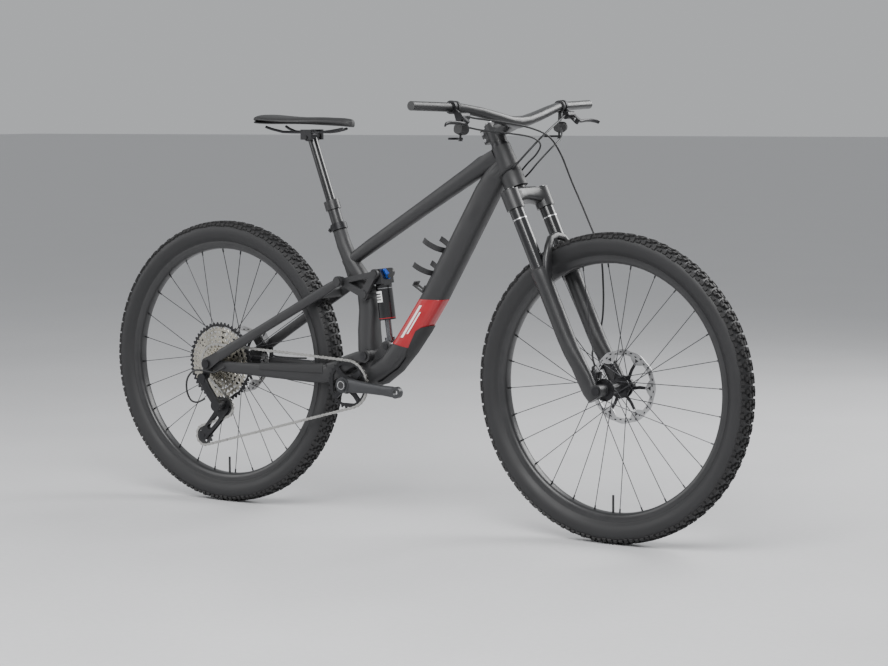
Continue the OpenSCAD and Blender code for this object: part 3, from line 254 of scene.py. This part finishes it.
def tyre(name, centre, body, node):
    """A carcass with five rows of knobs on each side, which repeat count times round the wheel."""
    prof = CARCASS + [(r, -w) for r, w in reversed(CARCASS[:-1])]
    prof += [(316, -16.6), (313, -14.2), (316, -12), (330, -23), (346, -26.8), (358, -24), (364.4, 0),
             (358, 24), (346, 26.8), (330, 23), (316, 12), (313, 14.2), (316, 16.6)]
    steps, b = 144, Build()
    verts = []
    for i in range(steps):
        a = 2 * math.pi * i / steps
        verts += [(centre[0] + r * math.cos(a), w, centre[2] + r * math.sin(a)) for r, w in prof]
    n = len(prof)
    faces = [(i * n + j, ((i + 1) % steps) * n + j, ((i + 1) % steps) * n + (j + 1) % n, i * n + (j + 1) % n)
             for i in range(steps) for j in range(n)]
    b.add(verts, faces, 1)
    line = np.array([(r, w) for r, w in CARCASS][::-1])
    steps_s = np.concatenate([[0], np.cumsum(np.linalg.norm(np.diff(line, axis=0), axis=1))])

    def on_line(q):
        return np.interp(q, steps_s, line[:, 0]), np.interp(q, steps_s, line[:, 1])

    def at(s, h, a):
        """The point s across the tread, h above it, at the angle a round the wheel."""
        side = 1 if s >= 0 else -1
        q = abs(s)
        r, w = on_line(q)
        r2, w2 = on_line(q + 0.5)
        r1, w1 = on_line(max(q - 0.5, 0))
        t = np.array([r2 - r1, w2 - w1])
        t /= np.linalg.norm(t)
        r, w = r + t[1] * h, w - t[0] * h
        r = min(r, 371.9)
        return (centre[0] + r * math.cos(a), side * min(w, 30.4), centre[2] + r * math.sin(a))

    def knob(s0, s1, a0, a1, high, skew=0.0):
        s0, s1 = min(s0, s1), max(s0, s1)
        m, c = (a0 + a1) / 2, (s0 + s1) / 2
        low = [at(s, -1.0, a + skew * (s - c)) for s, a in ((s0, a0), (s1, a0), (s1, a1), (s0, a1))]
        k = 0.8
        top = [at(c + (s - c) * k, high, m + (a - m) * k + skew * (s - c) * k)
               for s, a in ((s0, a0), (s1, a0), (s1, a1), (s0, a1))]
        b.add(low + top, BOX_FACES, 0)

    count = 76
    for i in range(count):
        a = 2 * math.pi * i / count
        d = 2 * math.pi / count
        for m in (-1, 1):
            knob(m * 1.6, m * 9.6, a + 0.06 * d, a + 0.42 * d, 4.8, m * 0.0009)
            knob(m * 3.4, m * 10.4, a + 0.58 * d, a + 0.88 * d, 4.8, -m * 0.0009)
            knob(m * 13, m * 19, a + (0.3 if i % 2 else 0.36) * d, a + 0.7 * d, 5.2)
            knob(m * 22.0, m * (30.5 if i % 2 else 28.5), a + 0.02 * d, a + 0.42 * d, 4.6)
            knob(m * 22.6, m * (28.5 if i % 2 else 31.5), a + 0.54 * d, a + 0.9 * d, 4.4)
    return b.make(name, [TREAD, SIDEWALL], body, slot="tyre_rubber", replaces=[node], angle=32)


tyre("front_tyre_knobs", FRONT, "front_wheel", "front_tyre")
tyre("rear_tyre_knobs", REAR, "rear_wheel", "rear_tyre")


# ---- rotors ----
def rotor(name, centre, y, body, node):
    c = (centre[0], centre[2])
    b = Build()
    n = 288
    outer, inner = [], []
    for i in range(n):
        a = 2 * math.pi * i / n
        lobe = max(0.0, math.cos(6 * a)) ** 0.8
        ro, ri = 88.9 + 1.0 * math.cos(12 * a), 76.0 - 13.0 * lobe
        outer.append((c[0] + ro * math.cos(a), c[1] + ro * math.sin(a)))
        inner.append((c[0] + ri * math.cos(a), c[1] + ri * math.sin(a)))
    b.band(outer, inner, y - 0.9, y + 0.9, 0)
    for i in range(36):
        a = 2 * math.pi * (i + 0.5) / 36
        r = 83.5 if i % 2 else 80.2
        loop = spokewise(c, a, ((r - 1.5, -2.6), (r + 1.5, -3.2), (r + 1.5, 2.6), (r - 1.5, 3.2)))
        b.slab(loop, y - 0.94, y + 0.94, 1)
    for i in range(6):
        a = 2 * math.pi * i / 6
        b.slab(spokewise(c, a, ((67, 0), (76, 5.4), (76, -5.4))), y - 0.94, y + 0.94, 1)
        arm = spokewise(c, a, ((20, -8), (44, -3.4), (66, -3.2), (66, 3.2), (46, 4.4), (20, 1)))
        b.slab(arm, y - 0.6, y + 1.4, 1)
        b.slab(circle(spokewise(c, a, ((64, 0),))[0], 3.4, 16), y - 1.1, y + 1.8, 2)
    b.band(circle(c, 27, 64), circle(c, 17.6, 64), y - 0.7, y + 3.0, 1)
    return b.make(name, [TRACK, ALLOY, SILVER], body, slot="chain_steel", replaces=[node])


rotor("front_rotor_disc", FRONT, 46, "front_wheel", "front_rotor")
rotor("rear_rotor_disc", REAR, 59, "rear_wheel", "rear_rotor")

# ---- drive train ----
PITCH = 12.7
CHAIN_Y = -49.0


def pitch_r(t):
    return PITCH / (2 * math.sin(math.pi / t))


def cog_outline(c, t, phase=0.0, rise=2.4, dip=3.6):
    pts = []
    for i in range(t):
        for k, h in ((-0.5, -dip), (-0.34, -dip * 0.6), (-0.16, rise * 0.8), (-0.08, rise), (0.08, rise),
                     (0.16, rise * 0.8), (0.34, -dip * 0.6)):
            a = phase + 2 * math.pi * (i + k) / t
            pts.append((c[0] + (pitch_r(t) + h) * math.cos(a), c[1] + (pitch_r(t) + h) * math.sin(a)))
    return pts


def circle_like(outline, c, r, wave=0.0, lobes=5):
    out = []
    for x, z in outline:
        a = math.atan2(z - c[1], x - c[0])
        q = r + wave * max(0.0, math.cos(lobes * a))
        out.append((c[0] + q * math.cos(a), c[1] + q * math.sin(a)))
    return out


RUN = [((-595.0, 372.0), pitch_r(24)), ((-160.0, 341.0), pitch_r(30)),
       ((-638.0, 177.0), pitch_r(13)), ((-566.0, 256.0), -pitch_r(13))]


def chain_line():
    heads = []
    for i in range(4):
        (a, ra), (b, rb) = RUN[i], RUN[(i + 1) % 4]
        d = (b[0] - a[0], b[1] - a[1])
        heads.append(math.atan2(d[1], d[0]) + math.asin((rb - ra) / math.hypot(*d)))
    pts = []
    for i in range(4):
        (c, r), h0, h1 = RUN[i], heads[(i + 3) % 4], heads[i]
        turn = -((h0 - h1) % (2 * math.pi)) if r > 0 else (h1 - h0) % (2 * math.pi)
        for k in range(61):
            h = h0 + turn * k / 60
            pts.append((c[0] - r * math.sin(h), c[1] + r * math.cos(h)))
    return np.array(pts + [pts[0]])


line = chain_line()
lengths = np.concatenate([[0], np.cumsum(np.linalg.norm(np.diff(line, axis=0), axis=1))])
links = int(round(lengths[-1] / PITCH / 2)) * 2
pins = [(np.interp(s, lengths, line[:, 0]), np.interp(s, lengths, line[:, 1]))
        for s in (lengths[-1] * i / links for i in range(links))]
chain = Build()
for i, p in enumerate(pins):
    q = pins[(i + 1) % links]
    d = np.array([q[0] - p[0], q[1] - p[1]])
    a = math.atan2(d[1], d[0])
    loop = []
    for c, start in ((q, a - math.pi / 2), (p, a + math.pi / 2)):
        turns = [start + math.pi * k / 7 for k in range(8)]
        loop += [(c[0] + 3.7 * math.cos(t), c[1] + 3.7 * math.sin(t)) for t in turns]
        end = start + math.pi
        mid = ((p[0] + q[0]) / 2, (p[1] + q[1]) / 2)
        loop.append((mid[0] + 2.5 * math.cos(end), mid[1] + 2.5 * math.sin(end)))
    y = 2.15 if i % 2 else 1.35
    for m in (-1, 1):
        chain.slab(loop, CHAIN_Y + m * y - 0.38, CHAIN_Y + m * y + 0.38)
    chain.slab(circle(p, 3.4, 12), CHAIN_Y - 0.95, CHAIN_Y + 0.95)
    chain.slab(circle(p, 1.7, 12), CHAIN_Y - 2.7, CHAIN_Y + 2.7)
chain_piece = chain.make("chain_links", [CHAIN], None, slot="chain_steel", replaces=["chain"])
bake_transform(chain_piece)

cogs = Build()
COGS_T = [10, 12, 14, 16, 18, 21, 24, 28, 33, 39, 45, 51]
rear_c = (REAR[0], REAR[2])
for k, t in enumerate(COGS_T):
    y = CHAIN_Y - 6 * 3.65 + k * 3.65
    outline = cog_outline(rear_c, t, 0.7 * k)
    r_in = 15.5 if t < 21 else pitch_r(t) - (7.0 if t < 33 else 8.2)
    inner = circle_like(outline, rear_c, r_in, 0 if t < 21 else -2.0, 12)
    cogs.band(outline, inner, y - 0.85, y + 0.85, 1 if t == 51 else 0)
    if t >= 21:
        for j in range(6):
            a = 2 * math.pi * j / 6 + 0.13 * k
            arm = spokewise(rear_c, a, ((15, -4), (r_in + 3, 1), (r_in + 3, 8), (15, 4)))
            cogs.slab(arm, y - 0.7, y + 0.7, 1 if t >= 45 else 0)
cogs.band(circle(rear_c, 17, 48), circle(rear_c, 9.4, 48), -72.8, -31.6, 1)
cogs.make("cassette_cogs", [COGS, ALLOY], "cassette_body", slot="chain_steel", replaces=["cassette"])

ring = Build()
ring_c = (-160.0, 341.0)
outline = cog_outline(ring_c, 30)
ring.band(outline, circle_like(outline, ring_c, 51.5, -3.5, 4), CHAIN_Y - 0.9, CHAIN_Y + 0.9)
for j in range(4):
    a = math.radians(40) + j * math.pi / 2
    arm = spokewise(ring_c, a, ((14, -11), (36, -6.5), (52, -7), (55, 0), (52, 7), (36, 6.5), (14, 11)))
    ring.slab(arm, -51.4, -48.3)
    ring.slab(circle(spokewise(ring_c, a, ((49, 0),))[0], 4.0, 20), -52.2, -48.0, 1)
ring.band(circle(ring_c, 24, 48), circle(ring_c, 14.6, 48), -55.8, -47.9)
ring.make("chainring_teeth", [ALLOY, DARK_STEEL], "crankset", slot="black_alloy", replaces=["chainring"])

cap = Build()
cap.band(circle(ring_c, 10.6, 48), circle(ring_c, 9.4, 48), -79.5, -78.9, 0)
cap.slab(circle(ring_c, 9.3, 48), -79.3, -78.8, 1)
cap.make("crank_cap", [SILVER, GLOSS], "crankset", slot="bolt_steel")


# ---- saddle ----
def smooth(keys, n):
    """Even steps along a table of rows, joined by a smooth curve."""
    keys = np.array(keys, float)
    m, out = len(keys) - 1, []
    for i in range(n + 1):
        t = i / n * m
        k = min(int(t), m - 1)
        f = t - k
        p = [keys[max(0, min(m, k + j))] for j in (-1, 0, 1, 2)]
        out.append(0.5 * (2 * p[1] + (p[2] - p[0]) * f + (2 * p[0] - 5 * p[1] + 4 * p[2] - p[3]) * f ** 2
                          + (3 * p[1] - p[0] - 3 * p[2] + p[3]) * f ** 3))
    return out


SADDLE = [(-456, 1012, 50), (-448, 1014, 61), (-425, 1013, 69), (-385, 1010, 69), (-342, 1008, 54),
          (-300, 1008, 37), (-260, 1008, 26), (-215, 1006, 21), (-186, 1003, 17), (-175, 1000, 9)]


def saddle():
    rows = smooth(SADDLE, 72)
    n, b, verts = 40, Build(), []
    for x, z, w in rows:
        for k in range(n):
            a = 2 * math.pi * k / n
            cy, cz = math.cos(a), math.sin(a)
            y = w * math.copysign(abs(cy) ** 0.75, cy)
            up = 9.0 if cz > 0 else 9.5
            h = up * math.copysign(abs(cz) ** 0.7, cz)
            if cz > 0:
                channel = min(1, max(0, (-205 - x) / 40)) * min(1, max(0, (x + 445) / 40))
                h -= 2.6 * math.exp(-(y / 9.0) ** 2) * channel
                h -= 3.0 * (abs(y) / max(w, 1)) ** 3
            verts.append((x, y, z - 1 + h))
    faces = [(i * n + j, i * n + (j + 1) % n, (i + 1) * n + (j + 1) % n, (i + 1) * n + j)
             for i in range(len(rows) - 1) for j in range(n)]
    faces += [tuple(range(n - 1, -1, -1)), tuple(range((len(rows) - 1) * n, len(rows) * n))]
    b.add(verts, faces)
    pad = b.make("saddle_pad", [LEATHER], "seat", slot="guard_rubber", replaces=["saddle_cover"], angle=60)
    seam = Build()
    for m in (-1, 1):
        path = [(x, m * w * 0.93, z + 1.2) for x, z, w in rows[2:-2]]
        seam.tube(path, [0.7] * len(path), 8)
    seam.make("saddle_seams", [RUBBER], "seat", slot="guard_rubber", angle=60)


saddle()

# ---- grips ----
BAR_IN, BAR_OUT = Vector((298, 250, 1040)), Vector((286, 390, 1044))
BAR_DIR = (BAR_OUT - BAR_IN).normalized()
for side, tag in ((1, "left"), (-1, "right")):
    g = Build()
    profile = [(0.0, 11.6), (0.0, 17.2), (1.5, 17.6), (7.5, 17.6), (9.0, 16.6), (10.0, 15.2)]
    t = 11.0
    while t < 122:
        profile += [(t, 14.6), (t + 0.5, 15.9), (t + 1.9, 15.9), (t + 2.4, 14.6)]
        t += 3.4
    profile += [(124, 15.4), (126, 15.9), (134, 15.9), (136.2, 15.0), (136.9, 12.0)]
    start = BAR_OUT - 137 * BAR_DIR
    path = [start + q * BAR_DIR for q, _ in profile]
    path = [(p[0], p[1] * side, p[2]) for p in path]
    g.tube(path, [r for _, r in profile], 48)
    g.make("grip_" + tag, [GRIP], "steering", slot="grip_rubber", replaces=["grips"], angle=30)

# ---- hoses that cross a joint: each is one fixed curved tube through its route points, on no body ----
def flow(points, k=6):
    """A smooth curve through the given route points."""
    return [tuple(q) for q in smooth(points, k * (len(points) - 1))]


def hose(name, route, radius, node):
    path = flow(route)
    b = Build()
    b.tube(path, [radius] * len(path), 12)
    skin_piece = b.make(name, [HOSE], None, slot="cable_housing", replaces=[node], angle=50)
    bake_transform(skin_piece)


hose("shift_cable", [(319, -198, 991.5), (338, -170, 985), (366, -110, 978), (388, -40, 968), (386, 6, 950),
                     (364, 23, 926), (338, 25, 904), (320, 25, 886)],
     2.2, "steering_hoses")
hose("rear_brake_hose", [(325.8, 213.2, 1017.4), (334, 190, 1014), (356, 140, 1006), (381, 70, 992),
                         (388, 10, 968), (372, -18, 938), (346, -23, 911), (325, -21.5, 893)],
     2.5, "steering_hoses")
hose("dropper_cable", [(319, 198, 991.5), (342, 170, 980), (372, 120, 962), (381, 60, 938), (362, 34, 906),
                       (338, 31, 880), (316, 31, 862)],
     2.2, "steering_hoses")
hose("front_hose", [(325.8, -213.2, 1017.4), (335, -190, 1013), (360, -130, 1005), (392, -50, 990),
                    (408, 10, 968), (414, 54, 925), (428, 80, 860), (462, 90, 780), (500, 94, 690),
                    (508, 96, 610), (508, 95, 540), (500, 93, 492), (493, 85, 464), (496, 66, 447),
                    (505, 53, 434), (511, 50.6, 419), (512.4, 50.6, 405.6)],
     2.4, "front_brake_hose")

# ---- down tube panel and its plain bars ----
TUBE = [Vector((x, 0, z)) for x, z in ((160, 702), (82, 573), (30, 498), (-12, 442), (-52, 398), (-105, 364))]
bare = nodes["main_frame"]
skin_of = BVHTree.FromPolygons([bare.matrix_world @ v.co for v in bare.data.vertices],
                               [tuple(f.vertices) for f in bare.data.polygons])


def tube_point(t, angle, lift):
    """A point just off the down tube's real skin: t counts stations, angle goes round it."""
    k = min(int(t), len(TUBE) - 2)
    centre = TUBE[k].lerp(TUBE[k + 1], t - k)
    along = (TUBE[k + 1] - TUBE[k]).normalized()
    before = (TUBE[k] - TUBE[max(k - 1, 0)]).normalized() if k else along
    after = (TUBE[min(k + 2, len(TUBE) - 1)] - TUBE[k + 1]).normalized() if k + 2 < len(TUBE) else along
    f = t - k
    along = (before.lerp(along, 0.5 + f) if f < 0.5 else along.lerp(after, f - 0.5)).normalized()
    out = math.cos(angle) * Vector((0, 1, 0)).cross(along) + math.sin(angle) * Vector((0, 1, 0))
    hit = skin_of.ray_cast((centre + 60 * out) * MM, -out)[0]
    return hit / MM + lift * out


def skin(name, look, lift, cuts, t0, t1, steps_t, a0, a1, steps_a):
    """The tube's skin between two stations and two angles, trimmed by planes (point, outward)."""
    verts = [tube_point(t0 + (t1 - t0) * i / steps_t, math.radians(a0 + (a1 - a0) * j / steps_a), lift)
             for i in range(steps_t + 1) for j in range(steps_a + 1)]
    n = steps_a + 1
    b = Build()
    b.add(verts, [(i * n + j, i * n + j + 1, (i + 1) * n + j + 1, (i + 1) * n + j)
                  for i in range(steps_t) for j in range(steps_a)])
    obj = b.make(name, [look], "frame", slot="frame_paint", angle=None)
    work = bmesh.new()
    work.from_mesh(obj.data)
    bmesh.ops.remove_doubles(work, verts=work.verts, dist=0.00002)
    for point, outward in cuts:
        bmesh.ops.bisect_plane(work, geom=work.verts[:] + work.edges[:] + work.faces[:], dist=1e-7,
                               plane_co=Vector(point) * MM, plane_no=outward, clear_outer=True)
    work.to_mesh(obj.data)
    work.free()
    solid = obj.modifiers.new("solid", "SOLIDIFY")
    solid.thickness = 0.0003
    solid.offset = 0
    return obj


PANEL_CUTS = [((0, 0, 564), (0, 0, 1)), ((-41, 0, 451), (-0.2, 0, -1))]
skin("red_panel", RED, 0.3, PANEL_CUTS, 0.7, 3.9, 96, 0, 360, 96)
SIDE = Vector((0.82, 0, -0.57))
AXIS = Vector((30, 0, 498))
PANEL_BARS = (("panel_bar_long", -13.0, -7.0, 466, 549), ("panel_bar_short", -3.5, 0.5, 476, 532))
for name, q0, q1, z0, z1 in PANEL_BARS:
    skin(name, WHITE, 0.55, [(AXIS + q0 * SIDE, -SIDE), (AXIS + q1 * SIDE, SIDE), ((0, 0, z0), (0, 0, -1)),
                             ((0, 0, z1), (0, 0, 1))], 0.9, 3.6, 70, 182, 358, 80)

# ---- shock: label, rings ----
SHOCK_A, SHOCK_B = Vector((-60, 0, 440)), Vector((-85, 0, 623))
shock_z = (SHOCK_B - SHOCK_A).normalized()
shock_x = Vector((0, 1, 0)).cross(shock_z)


def shock_patch(b, r, z0, z1, a0, a1, look, n=14):
    verts = []
    for z in (z0, z1):
        for k in range(n + 1):
            a = math.radians(a0 + (a1 - a0) * k / n)
            for q in (r, r + 0.3):
                out = shock_x * q * math.cos(a) + Vector((0, q * math.sin(a), 0))
                verts.append(SHOCK_A + shock_z * z + out)
    m = 2 * (n + 1)
    faces = []
    for k in range(n):
        i = 2 * k
        faces += [(i + 1, i + 3, m + i + 3, m + i + 1), (i, m + i, m + i + 2, i + 2),
                  (i, i + 2, i + 3, i + 1), (m + i, m + i + 1, m + i + 3, m + i + 2)]
    faces += [(0, 1, m + 1, m), (m - 2, 2 * m - 2, 2 * m - 1, m - 1)]
    b.add(verts, faces, look)


marks = Build()
shock_patch(marks, 21.02, 112, 140, -130, -75, 0)
for k in range(3):
    shock_patch(marks, 21.35, 117 + 7 * k, 120 + 7 * k, -125, -84, 1, 8)
shock_patch(marks, 21.02, 146, 147.2, -180, 180, 2, 40)
shock_patch(marks, 21.02, 70, 71.4, -180, 180, 3, 40)
marks.make("shock_marks", [WHITE, PLASTIC, SILVER, RED_RING], "shock_upper", slot="black_gloss")

# ---- fork: travel ring, bezel caps ----
lean = math.radians(25)
up_s = Vector((-math.sin(lean), 0, math.cos(lean)))
up_n = Vector((math.cos(lean), 0, math.sin(lean)))
steer_0 = Vector(FRONT) - 48 * up_n


def steer_at(n, y, s):
    return steer_0 + n * up_n + Vector((0, y, 0)) + s * up_s


fork = Build()
for y in (-66, 66):
    fork.tube([steer_at(17, y, s) for s in (322.2, 326, 328)], [21.6, 21.2, 18.6], 40, look=0)
    fork.tube([steer_at(17, y, s) for s in (454, 456.6)], [18.1, 18.1], 40, look=1)
fork.make("fork_wipers", [RUBBER, SILVER], "fork_lower", slot="plastic_black")

# ---- head tube port where the cable goes in ----
port = Build()
path = [(336, -17.5, 905), (322, -23.6, 897), (308, -26.6, 888), (296, -27.4, 878), (288, -27.2, 870)]
port.tube(path, [2.6, 4.0, 4.2, 3.6, 1.8], 14)
port.make("cable_port", [RUBBER], "frame", slot="plastic_black")

# ---- floor, light, camera ----
floor_mat = material("floor_pale", (0.62, 0.62, 0.63), 0.7, vary=0.03, grain=60, bump=0.01, patch=2)
mesh = bpy.data.meshes.new("floor")
far = 60.0
mesh.from_pydata([(-far, -far, 0), (far, -far, 0), (far, far, 0), (-far, far, 0)], [], [(0, 1, 2, 3)])
mesh.materials.append(floor_mat)
floor = bpy.data.objects.new("floor", mesh)
bpy.context.scene.collection.objects.link(floor)

world = bpy.data.worlds.new("studio")
world.use_nodes = True
world.node_tree.nodes["Background"].inputs["Color"].default_value = (0.86, 0.88, 0.9, 1)
world.node_tree.nodes["Background"].inputs["Strength"].default_value = 0.55
bpy.context.scene.world = world


def area(name, where, aim, size, power):
    data = bpy.data.lights.new(name, "AREA")
    data.size = size
    data.energy = power
    lamp = bpy.data.objects.new(name, data)
    bpy.context.scene.collection.objects.link(lamp)
    lamp.location = where
    lamp.rotation_euler = (Vector(aim) - Vector(where)).to_track_quat("-Z", "Y").to_euler()


area("key", (1.2, -2.6, 3.2), (0, 0, 0.5), 2.6, 190)
area("fill", (-3.0, -2.0, 1.8), (0, 0, 0.5), 2.4, 45)
area("rim", (1.5, 3.0, 2.6), (0, 0, 0.6), 2.4, 130)

YAW, PITCH_UP, ROLL = 2.1833, -0.0924, -0.0054
camera = bpy.data.cameras.new("camera")
camera.sensor_width = 36.0
camera.sensor_fit = "HORIZONTAL"
camera.lens = 101.07
eye = bpy.data.objects.new("camera", camera)
bpy.context.scene.collection.objects.link(eye)
forward = Vector((math.cos(PITCH_UP) * math.cos(YAW), math.cos(PITCH_UP) * math.sin(YAW), math.sin(PITCH_UP)))
right = forward.cross(Vector((0, 0, 1))).normalized()
above = right.cross(forward)
turned = math.cos(ROLL) * right + math.sin(ROLL) * above
above = -math.sin(ROLL) * right + math.cos(ROLL) * above
axes = Matrix((turned, above, -forward)).transposed()
eye.matrix_world = Matrix.Translation((3.6517, -5.0491, 1.0522)) @ axes.to_4x4()
camera.clip_end = 200
bpy.context.scene.camera = eye
